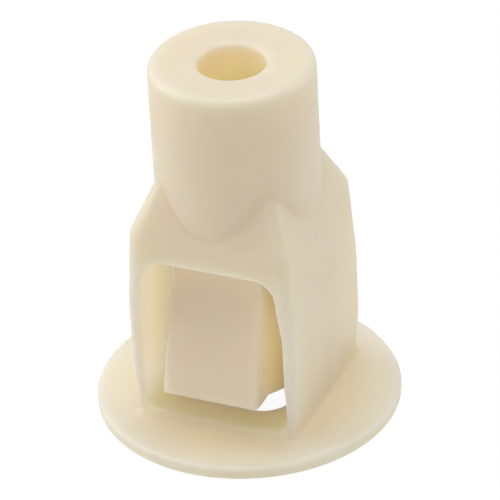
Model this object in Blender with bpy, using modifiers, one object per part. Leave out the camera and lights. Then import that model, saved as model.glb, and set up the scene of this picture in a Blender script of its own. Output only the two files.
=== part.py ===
"""Body panel clip: a one-piece moulded screw grommet for a square panel hole.

A thin round flange carries a square cage on a low floor. Two side walls rise from the floor to a
solid head, which narrows over four sloping shoulders into a round boss with a through bore. A thick
locking tongue hangs in each of the two open faces, and the screw's channel runs between the two.

Metres, +Z up. The origin is the centre of the flange's underside. The boss and the bore lie on
the Z axis, and the open faces look along -Y and +Y.
"""
import math

import bmesh
import bpy
from mathutils import Vector

# Driving dimensions
FLANGE_RADIUS = 0.0100
FLANGE_THICKNESS = 0.0009
FLANGE_TOP_ROUND = 0.00018
FLANGE_BOTTOM_ROUND = 0.0002

TOTAL_HEIGHT = 0.0254
BOSS_RADIUS = 0.00536
BOSS_TOP_ROUND = 0.00065

BORE_RADIUS = 0.0022
BORE_MOUTH_ROUND = 0.0003
SLEEVE_WALL = 0.0008
CHANNEL_RADIUS = 0.0019
OPENING_WIDTH = 0.0078
OPENING_CORNER_ROUND = 0.0020

BODY_WIDTH = 0.0117
BODY_CORNER_ROUND = 0.00075
BODY_STRAIGHT_TOP = 0.0094
BODY_TOP_TAPER = 0.0003
SHOULDER_START = 0.0146
SHOULDER_SLOPE = 0.44
SHOULDER_ROUND = 0.0014
SHOULDER_SINK = 0.0002
RELIEF_TOP = 0.0044
RELIEF_DEPTH = 0.0003
FOOT_FILLET = 0.0006
FOOT_REACH_SIDE = 0.0005
FOOT_REACH_FRONT = 0.0010
FOOT_SINK = 0.0004

SIDE_WALL = 0.00085
SILL_HEIGHT = 0.0007
SILL_CORNER_ROUND = 0.0008
WINDOW_TOP = 0.0128
WINDOW_LEAN_START = 0.0086
WINDOW_LEAN = 0.00065
WINDOW_CORNER_ROUND = 0.0014

TONGUE_TIP_ABOVE_FLANGE = 0.0025
TONGUE_TIP_PROUD = 0.00055
TONGUE_CATCH_DEPTH = 0.0018
TONGUE_UNDER_SLOPE = 0.445
TONGUE_UNDER_REACH = 0.0030
TONGUE_GAP = 0.0012
TONGUE_TIP_WIDTH = 0.0066
TONGUE_ROOT_SETBACK = 0.0022
TONGUE_ROOT_WIDTH = 0.00625
TONGUE_EDGE_ROUND = 0.0002

ROUND_SEGMENTS = 96
EDGE_STEPS = 5
CUT_OVERLAP = 0.001
WELD_DISTANCE = 0.000001
CREASE_ANGLE = math.radians(20)

# Dependent sizes
BODY_HALF = BODY_WIDTH / 2
HEAD_HALF = BODY_HALF - BODY_TOP_TAPER
SLEEVE_RADIUS = BORE_RADIUS + SLEEVE_WALL
FLOOR_TOP = FLANGE_THICKNESS + SILL_HEIGHT
SHOULDER_TOP_HALF = BOSS_RADIUS / math.sqrt(2) - SHOULDER_SINK
HEAD_JOIN = (WINDOW_TOP + SHOULDER_START) / 2
SLEEVE_BOTTOM = WINDOW_TOP + (HEAD_JOIN - WINDOW_TOP) / 4
BORE_START = (SLEEVE_BOTTOM + HEAD_JOIN) / 2
TONGUE_TIP_Z = FLANGE_THICKNESS + TONGUE_TIP_ABOVE_FLANGE


def clear_scene():
    for item in list(bpy.data.objects):
        bpy.data.objects.remove(item, do_unlink=True)


def add_object(name, mesh, collection):
    item = bpy.data.objects.new(name, mesh)
    collection.objects.link(item)
    return item


def arc(center_x, center_z, radius, start, end, steps):
    """Points of a round stretch, from one angle to another in degrees."""
    points = []
    for i in range(steps + 1):
        angle = math.radians(start + (end - start) * i / steps)
        points.append((center_x + radius * math.cos(angle), center_z + radius * math.sin(angle)))
    return points


def rounded_outline(corners, steps):
    """A closed outline from (x, y, radius) corners, each turned into an arc."""
    points = []
    count = len(corners)
    for i, (x, y, radius) in enumerate(corners):
        if radius == 0:
            points.append((x, y))
            continue
        corner = Vector((x, y))
        to_before = (Vector(corners[i - 1][:2]) - corner).normalized()
        to_after = (Vector(corners[(i + 1) % count][:2]) - corner).normalized()
        half_angle = to_before.angle(to_after) / 2
        center = corner + (to_before + to_after).normalized() * radius / math.sin(half_angle)
        first = corner + to_before * radius / math.tan(half_angle) - center
        last = corner + to_after * radius / math.tan(half_angle) - center
        start = math.atan2(first.y, first.x)
        turn = (math.atan2(last.y, last.x) - start + math.pi) % (2 * math.pi) - math.pi
        points += arc(center.x, center.y, radius, math.degrees(start), math.degrees(start + turn), steps)
    return points


def turned_shape(name, profile, collection, closed=False):
    """A solid of revolution about Z from an (x, z) profile that runs down its outer side."""
    links = [(i, i + 1) for i in range(len(profile) - 1)]
    if closed:
        links.append((len(profile) - 1, 0))
    mesh = bpy.data.meshes.new(name)
    mesh.from_pydata([(x, 0, z) for x, z in profile], links, [])
    item = add_object(name, mesh, collection)
    screw = item.modifiers.new("Turn", "SCREW")
    screw.axis = "Z"
    screw.steps = ROUND_SEGMENTS
    screw.render_steps = ROUND_SEGMENTS
    screw.use_merge_vertices = True
    screw.merge_threshold = WELD_DISTANCE
    return item


def cutting_cylinder(name, radius, bottom, top, collection):
    """A round cutter, turned by half a facet so that its edges miss those of the round solids."""
    profile = [(0, top), (radius, top), (radius, bottom), (0, bottom)]
    item = turned_shape(name, profile, collection)
    item.rotation_euler = (0, 0, math.pi / ROUND_SEGMENTS)
    return item


def extruded_outline(name, outline, half_length, collection):
    """A closed outline in X and Y, given thickness along Z both ways, as a welded mesh."""
    curve = bpy.data.curves.new(name, "CURVE")
    curve.dimensions = "2D"
    curve.fill_mode = "BOTH"
    curve.extrude = half_length
    spline = curve.splines.new("POLY")
    spline.points.add(len(outline) - 1)
    for point, (x, y) in zip(spline.points, outline):
        point.co = (x, y, 0, 1)
    spline.use_cyclic_u = True
    guide = add_object(name + "_outline", curve, collection)
    bpy.context.view_layer.update()
    evaluated = guide.evaluated_get(bpy.context.evaluated_depsgraph_get())
    mesh = bpy.data.meshes.new_from_object(evaluated)
    bpy.data.objects.remove(guide)
    work = bmesh.new()
    work.from_mesh(mesh)
    bmesh.ops.remove_doubles(work, verts=work.verts, dist=WELD_DISTANCE)
    bmesh.ops.recalc_face_normals(work, faces=work.faces)
    work.to_mesh(mesh)
    work.free()
    return add_object(name, mesh, collection)


def boolean(item, tool, operation):
    step = item.modifiers.new(operation.title() + " " + tool.name, "BOOLEAN")
    step.operation = operation
    step.object = tool
    step.solver = "EXACT"


# Square cage
def body_levels():
    """Heights of the square sections, with their half widths in X and Y."""
    foot_half = BODY_HALF - RELIEF_DEPTH
    levels = [(FLANGE_THICKNESS - FOOT_SINK, foot_half + FOOT_REACH_SIDE, BODY_HALF + FOOT_REACH_FRONT)]
    for reach, rise in arc(1, 1, 1, 270, 180, EDGE_STEPS)[1:]:
        levels.append((FLANGE_THICKNESS + rise * FOOT_FILLET,
                       foot_half + reach * FOOT_REACH_SIDE, BODY_HALF + reach * FOOT_REACH_FRONT))
    levels.append((RELIEF_TOP, BODY_HALF, BODY_HALF))
    levels.append((BODY_STRAIGHT_TOP, BODY_HALF, BODY_HALF))
    levels += [(z, half, half) for half, z in shoulder_bend()]
    shoulder_top = SHOULDER_START + (HEAD_HALF - SHOULDER_TOP_HALF) / SHOULDER_SLOPE
    levels.append((shoulder_top, SHOULDER_TOP_HALF, SHOULDER_TOP_HALF))
    return levels


def shoulder_bend():
    """The round stretch where the cage's side turns into the shoulder, as (half width, z) points."""
    lower_lean = math.atan(BODY_TOP_TAPER / (SHOULDER_START - BODY_STRAIGHT_TOP))
    upper_lean = math.atan(SHOULDER_SLOPE)
    reach = SHOULDER_ROUND * math.tan((upper_lean - lower_lean) / 2)
    start_x = HEAD_HALF + reach * math.sin(lower_lean)
    start_z = SHOULDER_START - reach * math.cos(lower_lean)
    center_x = start_x - SHOULDER_ROUND * math.cos(lower_lean)
    center_z = start_z - SHOULDER_ROUND * math.sin(lower_lean)
    return arc(center_x, center_z, SHOULDER_ROUND,
               math.degrees(lower_lean), math.degrees(upper_lean), EDGE_STEPS)


def square_body(collection):
    """The outer form, extruded level by level from the foot to inside the boss."""
    levels = body_levels()
    work = bmesh.new()
    bmesh.ops.create_cube(work, size=2)
    for corner in work.verts:
        z, half_x, half_y = levels[0] if corner.co.z < 0 else levels[1]
        corner.co = (corner.co.x * half_x, corner.co.y * half_y, z)
    top = max(work.faces, key=lambda face: face.calc_center_median().z)
    for z, half_x, half_y in levels[2:]:
        made = bmesh.ops.extrude_face_region(work, geom=[top])["geom"]
        work.faces.remove(top)
        top = [item for item in made if isinstance(item, bmesh.types.BMFace)][0]
        for corner in top.verts:
            corner.co = (math.copysign(half_x, corner.co.x), math.copysign(half_y, corner.co.y), z)
    bmesh.ops.recalc_face_normals(work, faces=work.faces)
    upright = [edge for edge in work.edges if abs(edge.verts[0].co.z - edge.verts[1].co.z) > WELD_DISTANCE]
    bmesh.ops.bevel(work, geom=upright, offset=BODY_CORNER_ROUND, offset_type="OFFSET",
                    segments=EDGE_STEPS, profile=0.5, affect="EDGES")
    mesh = bpy.data.meshes.new("square_body")
    work.to_mesh(mesh)
    work.free()
    return add_object("clip_moulding", mesh, collection)


def window_core(collection):
    """The space between the side walls, open through both faces, with rounded corners."""
    low_half = BODY_HALF - SIDE_WALL
    top_half = low_half - WINDOW_LEAN
    corners = [
        (-low_half, FLOOR_TOP, SILL_CORNER_ROUND),
        (low_half, FLOOR_TOP, SILL_CORNER_ROUND),
        (low_half, WINDOW_LEAN_START, 0),
        (top_half, WINDOW_TOP, WINDOW_CORNER_ROUND),
        (-top_half, WINDOW_TOP, WINDOW_CORNER_ROUND),
        (-low_half, WINDOW_LEAN_START, 0),
    ]
    core = extruded_outline("window_core", rounded_outline(corners, EDGE_STEPS),
                            BODY_HALF + FOOT_REACH_FRONT + CUT_OVERLAP, collection)
    core.rotation_euler = (math.pi / 2, 0, 0)
    return core


# Locking tongues
def tongue(name, side, collection):
    """A thick wedge that hangs from the head and leans outward to a flat catch above the flange."""
    root_outer = BODY_HALF - TONGUE_ROOT_SETBACK
    tip_outer = BODY_HALF + TONGUE_TIP_PROUD
    catch_inner = tip_outer - TONGUE_CATCH_DEPTH
    inner = TONGUE_GAP / 2
    foot_z = TONGUE_TIP_Z - TONGUE_UNDER_REACH * TONGUE_UNDER_SLOPE
    rise = (HEAD_JOIN - TONGUE_TIP_Z) / (WINDOW_TOP - TONGUE_TIP_Z)
    corners = [
        (inner, foot_z, 0),
        (catch_inner - TONGUE_UNDER_REACH, foot_z, 0),
        (catch_inner, TONGUE_TIP_Z, 0),
        (tip_outer, TONGUE_TIP_Z, TONGUE_EDGE_ROUND),
        (tip_outer + (root_outer - tip_outer) * rise, HEAD_JOIN, 0),
        (inner, HEAD_JOIN, 0),
    ]
    item = extruded_outline(name, rounded_outline(corners, EDGE_STEPS), TONGUE_TIP_WIDTH / 2, collection)
    for vertex in item.data.vertices:
        outward, height, across = vertex.co
        share = (height - TONGUE_TIP_Z) / (WINDOW_TOP - TONGUE_TIP_Z)
        width = 1 + (TONGUE_ROOT_WIDTH / TONGUE_TIP_WIDTH - 1) * share
        vertex.co = (side * across * width, side * outward, height)
    return item


# Turned forms
def flange(collection):
    top, low = FLANGE_TOP_ROUND, FLANGE_BOTTOM_ROUND
    profile = [(0, FLANGE_THICKNESS)]
    profile += arc(FLANGE_RADIUS - top, FLANGE_THICKNESS - top, top, 90, 0, EDGE_STEPS)
    profile += arc(FLANGE_RADIUS - low, low, low, 0, -90, EDGE_STEPS)
    profile += [(0, 0)]
    return turned_shape("flange", profile, collection)


def boss_and_sleeve(collection):
    """The boss and its sleeve in the head, turned in one piece round the bore."""
    top, mouth = BOSS_TOP_ROUND, BORE_MOUTH_ROUND
    lip = BORE_RADIUS + mouth
    profile = arc(lip, TOTAL_HEIGHT - mouth, mouth, 180, 90, EDGE_STEPS)
    profile += arc(BOSS_RADIUS - top, TOTAL_HEIGHT - top, top, 90, 0, EDGE_STEPS)
    profile += [(BOSS_RADIUS, HEAD_JOIN), (SLEEVE_RADIUS, HEAD_JOIN), (SLEEVE_RADIUS, SLEEVE_BOTTOM)]
    profile += [(BORE_RADIUS, SLEEVE_BOTTOM)]
    return turned_shape("boss_and_sleeve", profile, collection, closed=True)


def channel_cutter(collection):
    """The screw's way between the tongues and into the head."""
    return cutting_cylinder("channel_cutter", CHANNEL_RADIUS, FLOOR_TOP, HEAD_JOIN, collection)


def head_cutter(collection):
    """The way for the bore through the head, kept inside the sleeve's wall."""
    radius = (BORE_RADIUS + SLEEVE_RADIUS) / 2
    return cutting_cylinder("head_cutter", radius, BORE_START, TOTAL_HEIGHT, collection)


def opening_cutter(collection):
    """The square opening through the flange and the cage floor, below the tongues."""
    half = OPENING_WIDTH / 2
    corners = [(x * half, y * half, OPENING_CORNER_ROUND) for x, y in ((-1, -1), (1, -1), (1, 1), (-1, 1))]
    top = (FLOOR_TOP + TONGUE_TIP_Z) / 2
    cutter = extruded_outline("opening_cutter", rounded_outline(corners, EDGE_STEPS),
                              (top + CUT_OVERLAP) / 2, collection)
    cutter.location.z = (top - CUT_OVERLAP) / 2
    return cutter


# Material
def nylon():
    material = bpy.data.materials.new("natural_nylon")
    material.use_nodes = True
    shader = material.node_tree.nodes["Principled BSDF"]
    shader.inputs["Base Color"].default_value = (0.78, 0.70, 0.50, 1)
    shader.inputs["Roughness"].default_value = 0.45
    shader.inputs["Metallic"].default_value = 0
    return material


def build():
    clear_scene()
    parts = bpy.data.collections.new("body_panel_clip")
    tools = bpy.data.collections.new("cutters")
    bpy.context.scene.collection.children.link(parts)
    bpy.context.scene.collection.children.link(tools)
    clip = square_body(parts)
    steps = [
        (window_core(tools), "DIFFERENCE"),
        (flange(tools), "UNION"),
        (opening_cutter(tools), "DIFFERENCE"),
        (tongue("front_tongue", -1, tools), "UNION"),
        (tongue("rear_tongue", 1, tools), "UNION"),
        (channel_cutter(tools), "DIFFERENCE"),
        (head_cutter(tools), "DIFFERENCE"),
        (boss_and_sleeve(tools), "UNION"),
    ]
    for tool, operation in steps:
        tool.hide_render = True
        tool.display_type = "WIRE"
        boolean(clip, tool, operation)
    clip.data.materials.append(nylon())
    clip.data.shade_smooth()
    clip.data.set_sharp_from_angle(angle=CREASE_ANGLE)


build()
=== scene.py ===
import math

import bpy
from mathutils import Matrix, Vector


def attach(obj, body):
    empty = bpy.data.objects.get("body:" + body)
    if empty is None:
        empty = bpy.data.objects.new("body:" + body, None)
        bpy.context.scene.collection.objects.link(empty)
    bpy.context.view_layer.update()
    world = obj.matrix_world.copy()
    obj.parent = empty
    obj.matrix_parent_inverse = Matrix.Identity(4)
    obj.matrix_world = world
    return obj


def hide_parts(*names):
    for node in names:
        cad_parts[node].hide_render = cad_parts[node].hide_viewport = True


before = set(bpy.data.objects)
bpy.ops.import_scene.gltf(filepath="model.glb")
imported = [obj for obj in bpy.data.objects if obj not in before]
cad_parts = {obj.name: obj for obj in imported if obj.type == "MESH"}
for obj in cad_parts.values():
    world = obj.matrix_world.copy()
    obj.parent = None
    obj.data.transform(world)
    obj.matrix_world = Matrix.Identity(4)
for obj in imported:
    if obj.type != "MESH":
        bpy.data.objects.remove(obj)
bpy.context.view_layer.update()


# Small helpers

def deselectAll():
    bpy.ops.object.select_all(action="DESELECT")


def makeActive(piece):
    deselectAll()
    piece.select_set(True)
    bpy.context.view_layer.objects.active = piece


def applyModifier(piece, kind, **settings):
    makeActive(piece)
    modifier = piece.modifiers.new(kind.title(), kind)
    for key, value in settings.items():
        setattr(modifier, key, value)
    bpy.ops.object.modifier_apply(modifier=modifier.name)


# Moulded clip: the CAD solid with its edges softened as they leave the mould, places in metres
clip = {
    "node": "clip_moulding",
    "name": "moulded_clip",
    "mergeDistance": 0.000001,
    "voxelSize": 0.00012,
    "smoothFactor": 0.5,
    "smoothPasses": 3,     # all over; the next six are for one zone each
    "jambPasses": 60,
    "footPasses": 30,
    "cornerPasses": 60,
    "tonguePasses": 40,
    "ridgePasses": 25,
    "rimPasses": 10,
    "tipDrop": 0.00014,    # how much lower the tongues' tips hang
    "topDrop": 0.00016,    # how much the boss's top dips towards the bore
    "keptShare": 0.45,
    "nickPlace": (-0.00222, -0.00988, 0.00090),
    "nickSize": (0.00022, 0.0012, 0.0005),
    "nickTurn": 0.22,
    "tongueTipY": 0.0064,  # the tongues' outer faces: a tip, and how far they lean in per metre up
    "tongueTipZ": 0.0034,
    "tongueLean": 0.2926,
}

# Zones of the clip that are shaped on their own: distances from the middle, and heights
softZones = {
    "jambX": (0.0042, 0.0058),
    "jambY": (0.0048, 0.0080),
    "jambZ": (0.0012, 0.0122),
    "footOut": (0.0052, 0.0080),
    "footZ": (0.0007, 0.0024),
    "tipX": (0.0, 0.0034),
    "tipY": (0.0047, 0.0066),
    "tipZ": (0.0030, 0.0035),
    "topOut": (0.0036, 0.0052),
    "topZ": (0.0250, 0.0260),
    "cornerOut": (0.0052, 0.0090),
    "cornerZ": (0.0008, 0.0045),
    "tongueX": (0.0029, 0.0034),
    "tongueDepth": (-0.0001, 0.0005),
    "tongueZ": (0.0037, 0.0124),
    "rimOut": (0.0095, 0.0102),
    "rimZ": (0.0006, 0.0010),
    "ridgeOff": (0.0, 0.0006),
    "ridgeZ": (0.0125, 0.0182),
    "ridgeOut": (0.0056, 0.0090),
    "fade": 0.0003,
}


def between(value, lowHigh):
    # 1 inside the two values, falling to 0 at the fade distance outside them
    outside = max(lowHigh[0] - value, value - lowHigh[1], 0)
    return max(0, 1 - outside / softZones["fade"])


def shapeZone(piece, share, kind, **settings):
    # applies a modifier to one zone, as much as its share says there
    group = piece.vertex_groups.new(name="zone")
    for vertex in piece.data.vertices:
        weight = share(*vertex.co)
        if weight > 0:
            group.add([vertex.index], weight, "REPLACE")
    applyModifier(piece, kind, vertex_group="zone", **settings)
    bpy.ops.object.vertex_group_remove(all=True)


def jambShare(x, y, z):
    if x * y < 0:          # the front window's left jamb and its match behind
        return 0
    return (between(abs(x), softZones["jambX"]) * between(abs(y), softZones["jambY"])
            * between(z, softZones["jambZ"]))


def footShare(x, y, z):
    return between(max(abs(x), abs(y)), softZones["footOut"]) * between(z, softZones["footZ"])


def tipShare(x, y, z):
    return (between(abs(x), softZones["tipX"]) * between(abs(y), softZones["tipY"])
            * between(z, softZones["tipZ"]))


def topShare(x, y, z):
    full, none = softZones["topOut"]
    share = min(1, max(0, (none - math.hypot(x, y)) / (none - full)))
    return share * between(z, softZones["topZ"])


def cornerShare(x, y, z):
    if x * y > 0:          # the cage's front right corner and its match behind
        return 0
    return (between(min(abs(x), abs(y)), softZones["cornerOut"])
            * between(z, softZones["cornerZ"]))


def tongueShare(x, y, z):
    if x * y > 0:          # the front tongue's right edge and its match behind
        return 0
    faceY = clip["tongueTipY"] - (z - clip["tongueTipZ"]) * clip["tongueLean"]
    return (between(abs(x), softZones["tongueX"])
            * between(faceY - abs(y), softZones["tongueDepth"])
            * between(z, softZones["tongueZ"]))


def rimShare(x, y, z):
    return between(math.hypot(x, y), softZones["rimOut"]) * between(z, softZones["rimZ"])


def ridgeShare(x, y, z):
    return (between(abs(abs(x) - abs(y)), softZones["ridgeOff"]) * between(z, softZones["ridgeZ"])
            * between(math.hypot(x, y), softZones["ridgeOut"]))


def cutNick(piece):
    # the short step that the gate left on the flange's rim
    bpy.ops.mesh.primitive_cube_add(size=1, location=clip["nickPlace"],
                                    rotation=(0, 0, clip["nickTurn"]))
    tool = bpy.context.object
    tool.scale = clip["nickSize"]
    applyModifier(piece, "BOOLEAN", operation="DIFFERENCE", object=tool, solver="EXACT")
    makeActive(tool)
    bpy.ops.object.delete()


def makeClip():
    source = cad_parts[clip["node"]]
    piece = bpy.data.objects.new(clip["name"], source.data.copy())
    bpy.context.scene.collection.objects.link(piece)
    makeActive(piece)
    bpy.ops.object.mode_set(mode="EDIT")
    bpy.ops.mesh.select_all(action="SELECT")
    bpy.ops.mesh.remove_doubles(threshold=clip["mergeDistance"])
    bpy.ops.mesh.normals_make_consistent(inside=False)
    bpy.ops.object.mode_set(mode="OBJECT")
    cutNick(piece)
    applyModifier(piece, "REMESH", mode="VOXEL", voxel_size=clip["voxelSize"])
    applyModifier(piece, "SMOOTH", factor=clip["smoothFactor"], iterations=clip["smoothPasses"])
    for share, passes in ((jambShare, clip["jambPasses"]), (footShare, clip["footPasses"]),
                          (cornerShare, clip["cornerPasses"]), (tongueShare, clip["tonguePasses"]),
                          (ridgeShare, clip["ridgePasses"]), (rimShare, clip["rimPasses"])):
        shapeZone(piece, share, "SMOOTH", factor=clip["smoothFactor"], iterations=passes)
    for share, drop in ((tipShare, clip["tipDrop"]), (topShare, clip["topDrop"])):
        shapeZone(piece, share, "DISPLACE", direction="Z", mid_level=0, strength=-drop)
    applyModifier(piece, "DECIMATE", ratio=clip["keptShare"])
    makeActive(piece)
    bpy.ops.object.shade_smooth()
    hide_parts(clip["node"])
    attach(piece, "root")
    print("clip moulded:", sum(len(face.vertices) - 2 for face in piece.data.polygons), "triangles")
    return piece


# Natural nylon: waxy, lets light through, with painted shade that makes it deeper yellow in the
# cage's hollow and in the bore, and a painted highlight that makes it paler on the flange rim, the
# cage's corners and the boss's top
nylon = {
    "outerColor": (0.938, 0.798, 0.605, 1),
    "paleHighlightColor": (0.948, 0.82, 0.67, 1),     # painted highlight on the flange rim, and a share of it on the top face
    "topShare": 0.4,
    # painted highlight on the cage's corners
    "litCornerColor": (0.98, 0.82, 0.675, 1),
    "cornerShare": 0.7,
    # painted shade: the deeper yellow of the shaded hollow and bore
    "recessShadeColor": (1.0, 0.82, 0.53, 1),
    "boreShadeShare": 0.6,
    "mottleSize": 0.0030,
    "mottleDetail": 3,
    "mottleAmount": 0.02,
    "roughness": 0.42,
    "roughnessSpread": 0.05,
    "glossSize": 0.0015,
    "glossDetail": 2,
    "grainSize": 0.00016,
    "grainDetail": 2,
    "grainHeight": 0.000004,
    "subsurface": 1.0,
    "radius": (0.90, 0.91, 0.76),
    "outerDepth": 0.0020,
    "innerDepth": 0.0070,
}

# Where the painted shade, the painted highlights and the deeper scattering lie, in metres: each
# pair is where it begins and where it is full
hollow = {
    "wallX": (0.00515, 0.00498),
    "reachY": (0.0057, 0.0048),
    "depthY": (0.0058, 0.0034),
    "floorDepthY": (0.0072, 0.0052),
    "floorZ": (0.0030, 0.0018),
    "bottomZ": (0.0011, 0.0015),
    "topZ": (0.01300, 0.01260),
    "tongueSkin": (0.0005, 0.0001),
    "tongueX": (0.00345, 0.00300),
    "tongueLowZ": (0.0026, 0.0031),
    "boreRadius": (0.00245, 0.00225),
    "boreZ": (0.0254, 0.0220),
    "cornerX": (0.0044, 0.0050),
    "cornerY": (0.0046, 0.0056),
    "cornerLowZ": (0.0010, 0.0030),
    "cornerTopZ": (0.0150, 0.0120),
    "topFaceZ": (0.0246, 0.0252),
    "rimRadius": (0.0068, 0.0094),
    "rimZ": (0.0020, 0.0012),
    "rimLowZ": (0.0004, 0.0008),
}

# Small dark specks in the moulding: place, radius and how much darker
specks = [
    ((-0.00956, 0.00161, 0.00090), 0.00016, 0.22),
    ((0.00100, -0.00527, 0.02346), 0.00025, 0.03),
]


def nylonMaterial():
    material = bpy.data.materials.new("natural_nylon_with_painted_light")
    material.use_nodes = True
    nodes, links = material.node_tree.nodes, material.node_tree.links
    shader = nodes["Principled BSDF"]
    place = nodes.new("ShaderNodeTexCoord")
    axes = nodes.new("ShaderNodeSeparateXYZ")
    links.new(place.outputs["Object"], axes.inputs[0])

    def plug(socket, value):
        if isinstance(value, bpy.types.NodeSocket):
            links.new(value, socket)
        else:
            socket.default_value = value

    def calc(operation, first, second=0.0):
        node = nodes.new("ShaderNodeMath")
        node.operation = operation
        plug(node.inputs[0], first)
        plug(node.inputs[1], second)
        return node.outputs[0]

    def times(first, second):
        return calc("MULTIPLY", first, second)

    def larger(first, second):
        return calc("MAXIMUM", first, second)

    def rise(value, fromTo):   # 0 at the first value, 1 at the second, smooth between them
        node = nodes.new("ShaderNodeMapRange")
        node.interpolation_type = "SMOOTHSTEP"
        low, high = min(fromTo), max(fromTo)
        plug(node.inputs["Value"], value)
        node.inputs["From Min"].default_value, node.inputs["From Max"].default_value = low, high
        ends = (0, 1) if fromTo[0] < fromTo[1] else (1, 0)
        node.inputs["To Min"].default_value, node.inputs["To Max"].default_value = ends
        return node.outputs["Result"]

    def noise(size, detail):
        node = nodes.new("ShaderNodeTexNoise")
        links.new(place.outputs["Object"], node.inputs["Vector"])
        node.inputs["Scale"].default_value = 1 / size
        node.inputs["Detail"].default_value = detail
        return node.outputs["Fac"]

    def swing(size, detail, amount):   # soft noise that goes as far below zero as above it
        return times(calc("SUBTRACT", noise(size, detail), 0.5), 2 * amount)

    def blend(amount, first, second):
        node = nodes.new("ShaderNodeMix")
        node.data_type = "RGBA"
        plug(node.inputs[0], amount)
        plug(node.inputs[6], first)
        plug(node.inputs[7], second)
        return node.outputs[2]

    x, y, z = axes.outputs
    sideX, sideY = calc("ABSOLUTE", x), calc("ABSOLUTE", y)

    # inside the cage: between the walls, from the floor to the head, apart from the tongues' faces
    walls = rise(sideX, hollow["wallX"])
    upright = times(rise(z, hollow["bottomZ"]), rise(z, hollow["topZ"]))
    faceY = calc("SUBTRACT", clip["tongueTipY"],
                 times(calc("SUBTRACT", z, clip["tongueTipZ"]), clip["tongueLean"]))
    skin = rise(calc("SUBTRACT", faceY, sideY), hollow["tongueSkin"])
    onTongue = times(skin, times(rise(sideX, hollow["tongueX"]), rise(z, hollow["tongueLowZ"])))
    room = times(times(walls, upright), calc("SUBTRACT", 1.0, onTongue))
    nearFloor = times(rise(sideY, hollow["floorDepthY"]), rise(z, hollow["floorZ"]))
    axisDistance = calc("SQRT", calc("ADD", times(x, x), times(y, y)))
    bore = times(rise(axisDistance, hollow["boreRadius"]), rise(z, hollow["boreZ"]))
    inside = larger(bore, times(room, larger(rise(sideY, hollow["reachY"]), nearFloor)))
    # painted shade: deeper yellow in the hollow and the bore, where they lie in shade
    paintedRecessShade = larger(times(bore, nylon["boreShadeShare"]),
                    times(room, larger(rise(sideY, hollow["depthY"]), nearFloor)))

    # paler where the flange, the cage's corners and the boss's top catch the light
    litRimMask = times(rise(axisDistance, hollow["rimRadius"]),
                times(rise(z, hollow["rimZ"]), rise(z, hollow["rimLowZ"])))
    litCornerMask = times(times(rise(sideX, hollow["cornerX"]), rise(sideY, hollow["cornerY"])),
                   times(rise(z, hollow["cornerLowZ"]), rise(z, hollow["cornerTopZ"])))
    paintedHighlight = larger(litRimMask, times(rise(z, hollow["topFaceZ"]), nylon["topShare"]))
    body = blend(paintedHighlight, nylon["outerColor"], nylon["paleHighlightColor"])
    withLitCorners = blend(times(litCornerMask, nylon["cornerShare"]), body, nylon["litCornerColor"])
    # the painted highlights and the painted shade laid over the nylon's own colour
    toneWithPaintedLight = blend(paintedRecessShade, withLitCorners, nylon["recessShadeColor"])

    mottle = nodes.new("ShaderNodeHueSaturation")
    links.new(toneWithPaintedLight, mottle.inputs["Color"])
    shade = swing(nylon["mottleSize"], nylon["mottleDetail"], nylon["mottleAmount"])
    value = calc("ADD", shade, 1.0)
    for spot, radius, strength in specks:
        gap = nodes.new("ShaderNodeVectorMath")
        gap.operation = "DISTANCE"
        links.new(place.outputs["Object"], gap.inputs[0])
        gap.inputs[1].default_value = spot
        dark = times(rise(gap.outputs["Value"], (radius, radius / 2)), strength)
        value = calc("SUBTRACT", value, dark)
    links.new(value, mottle.inputs["Value"])
    links.new(mottle.outputs["Color"], shader.inputs["Base Color"])

    gloss = swing(nylon["glossSize"], nylon["glossDetail"], nylon["roughnessSpread"])
    links.new(calc("ADD", gloss, nylon["roughness"]), shader.inputs["Roughness"])
    grain = nodes.new("ShaderNodeBump")
    grain.inputs["Distance"].default_value = nylon["grainHeight"]
    links.new(noise(nylon["grainSize"], nylon["grainDetail"]), grain.inputs["Height"])
    links.new(grain.outputs["Normal"], shader.inputs["Normal"])

    shader.inputs["Subsurface Weight"].default_value = nylon["subsurface"]
    shader.inputs["Subsurface Radius"].default_value = nylon["radius"]
    extraDepth = times(inside, nylon["innerDepth"] - nylon["outerDepth"])
    links.new(calc("ADD", extraDepth, nylon["outerDepth"]), shader.inputs["Subsurface Scale"])
    return material


# Camera at the photograph's angle, in degrees, metres and pixels of its 500 x 500 frame
camera = {
    "azimuth": 24.2,
    "elevation": 32.587,
    "roll": -3.148,
    "distance": 0.30,
    "pixelsPerMetre": 15186.2,
    "frameSize": 500,
    "originPixel": (250.0, 392.0),
    "sensorWidth": 36,
    "nearAndFar": (0.01, 10),
}


def makeCamera():
    azimuth, elevation, roll = (math.radians(camera[key])
                                for key in ("azimuth", "elevation", "roll"))
    away = Vector((-math.sin(azimuth) * math.cos(elevation),
                   math.cos(azimuth) * math.cos(elevation), -math.sin(elevation)))
    level = Vector((math.cos(azimuth), math.sin(azimuth), 0))
    upright = level.cross(away)
    right = level * math.cos(roll) + upright * math.sin(roll)
    up = upright * math.cos(roll) - level * math.sin(roll)
    size = camera["frameSize"]
    acrossOff = (camera["originPixel"][0] - size / 2) / camera["pixelsPerMetre"]
    downOff = (camera["originPixel"][1] - size / 2) / camera["pixelsPerMetre"]
    place = -(away * camera["distance"] + right * acrossOff - up * downOff)
    data = bpy.data.cameras.new("photoCamera")
    data.sensor_width = camera["sensorWidth"]
    data.lens = camera["pixelsPerMetre"] * camera["distance"] * camera["sensorWidth"] / size
    data.clip_start, data.clip_end = camera["nearAndFar"]
    item = bpy.data.objects.new("photoCamera", data)
    item.matrix_world = Matrix(((right.x, up.x, -away.x, place.x),
                                (right.y, up.y, -away.y, place.y),
                                (right.z, up.z, -away.z, place.z),
                                (0, 0, 0, 1)))
    bpy.context.scene.collection.objects.link(item)
    bpy.context.scene.camera = item


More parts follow.
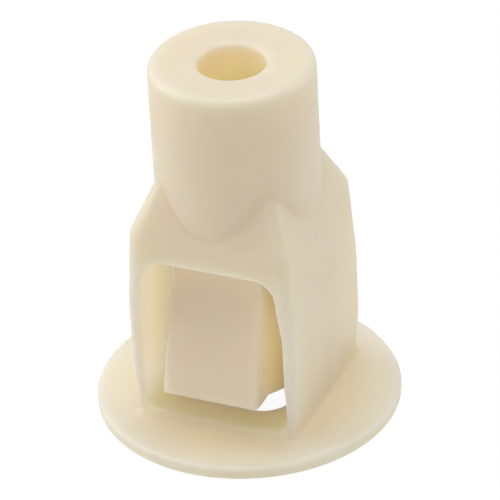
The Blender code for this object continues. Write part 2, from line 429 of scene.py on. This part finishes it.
def whiteRays(nodes, links):
    # 1 for rays that should meet the white background: camera, mirror and see-through rays
    path = nodes.new("ShaderNodeLightPath")
    first = nodes.new("ShaderNodeMath")
    first.operation = "MAXIMUM"
    second = nodes.new("ShaderNodeMath")
    second.operation = "MAXIMUM"
    links.new(path.outputs["Is Camera Ray"], first.inputs[0])
    links.new(path.outputs["Is Glossy Ray"], first.inputs[1])
    links.new(first.outputs[0], second.inputs[0])
    links.new(path.outputs["Is Transmission Ray"], second.inputs[1])
    return second.outputs[0]


# Pale floor that reads as white paper and keeps a faint shadow
floor = {
    "halfWidth": 0.6,
    "height": -0.00002,
    "color": (0.85, 0.85, 0.85, 1),
    "glow": 0.216,
    "seenGlow": 0.93,
    "seenColor": (0.11, 0.11, 0.11, 1),
}


def makeFloor():
    bpy.ops.mesh.primitive_plane_add(size=2 * floor["halfWidth"], location=(0, 0, floor["height"]))
    item = bpy.context.object
    item.name = "floor"
    material = bpy.data.materials.new("floor_paper")
    material.use_nodes = True
    nodes, links = material.node_tree.nodes, material.node_tree.links
    nodes.clear()
    out = nodes.new("ShaderNodeOutputMaterial")
    paper = nodes.new("ShaderNodeBsdfDiffuse")
    paper.inputs["Color"].default_value = floor["color"]
    seen = nodes.new("ShaderNodeBsdfDiffuse")
    seen.inputs["Color"].default_value = floor["seenColor"]
    mix = nodes.new("ShaderNodeMixShader")
    links.new(whiteRays(nodes, links), mix.inputs[0])
    for surface, strength, socket in ((paper, floor["glow"], 1), (seen, floor["seenGlow"], 2)):
        glow = nodes.new("ShaderNodeEmission")
        glow.inputs["Strength"].default_value = strength
        both = nodes.new("ShaderNodeAddShader")
        links.new(surface.outputs[0], both.inputs[0])
        links.new(glow.outputs[0], both.inputs[1])
        links.new(both.outputs[0], mix.inputs[socket])
    links.new(mix.outputs[0], out.inputs[0])
    item.data.materials.append(material)


# Soft studio light, in metres and watts
lights = {
    "worldStrength": 0.0,
    "aim": (0, 0, 0.012),
    "lamps": [
        # name, place, size, power
        ("leftPanel", (-0.45, -0.05, 0.22), 0.35, 1.11),
        ("rightRearPanel", (0.42, 0.3, 0.2), 0.3, 0.70),
        ("topPanel", (-0.02, 0.05, 0.5), 0.4, 1.57),
        ("frontPanel", (0.18, -0.45, 0.22), 0.35, 0.52),
    ],
}

# Weak light inside the recesses, for what the real nylon lets through its walls
innerLights = {
    # color, width and height, power
    "right": ((1.0, 0.90, 0.68), (0.0035, 0.0080), 0.000034),
    "left": ((1.0, 0.82, 0.64), (0.0035, 0.0088), 0.000034),
    "bore": ((1.0, 0.90, 0.74), (0.0020, 0.0030), 0.000033),
    "lamps": [
        # name, kind, place, the way that it faces
        ("frontRightSlot", "right", (0.0049, -0.0026, 0.0076), (-1, 0, 0)),
        ("frontLeftSlot", "left", (-0.00345, -0.0038, 0.0072), (-1, 0, 0)),
        ("rearRightSlot", "right", (-0.0049, 0.0026, 0.0076), (1, 0, 0)),
        ("rearLeftSlot", "left", (0.00345, 0.0038, 0.0072), (1, 0, 0)),
        ("boreGlow", "bore", (0.0007, -0.00155, 0.0235), (-0.41, 0.91, 0)),
    ],
}


def makeWorld():
    world = bpy.data.worlds.new("whiteRoom")
    bpy.context.scene.world = world
    world.use_nodes = True
    nodes, links = world.node_tree.nodes, world.node_tree.links
    nodes.clear()
    out = nodes.new("ShaderNodeOutputWorld")
    mix = nodes.new("ShaderNodeMixShader")
    links.new(whiteRays(nodes, links), mix.inputs[0])
    for strength, socket in ((lights["worldStrength"], 1), (1, 2)):
        room = nodes.new("ShaderNodeBackground")
        room.inputs["Strength"].default_value = strength
        room.inputs["Color"].default_value = (1, 1, 1, 1)
        links.new(room.outputs[0], mix.inputs[socket])
    links.new(mix.outputs[0], out.inputs[0])


def addLamp(name, shape, place, facing, power):
    data = bpy.data.lights.new(name, "AREA")
    data.shape = shape
    data.energy = power
    item = bpy.data.objects.new(name, data)
    item.location = place
    item.rotation_euler = Vector(facing).to_track_quat("-Z", "Y").to_euler()
    bpy.context.scene.collection.objects.link(item)
    return item


def makeLamps():
    for name, place, size, power in lights["lamps"]:
        lamp = addLamp(name, "SQUARE", place, Vector(lights["aim"]) - Vector(place), power)
        lamp.data.size = size


def makeInnerLights():
    for name, kind, place, facing in innerLights["lamps"]:
        color, extent, power = innerLights[kind]
        lamp = addLamp(name, "RECTANGLE", place, facing, power)
        lamp.data.color = color
        lamp.data.size, lamp.data.size_y = extent
        lamp.visible_camera = False


piece = makeClip()
piece.data.materials.clear()
piece.data.materials.append(nylonMaterial())
print("nylon finish ready")
makeFloor()
makeWorld()
makeLamps()
makeInnerLights()
makeCamera()
print("stage, lights and camera ready")

bpy.context.scene.view_settings.view_transform = "Standard"
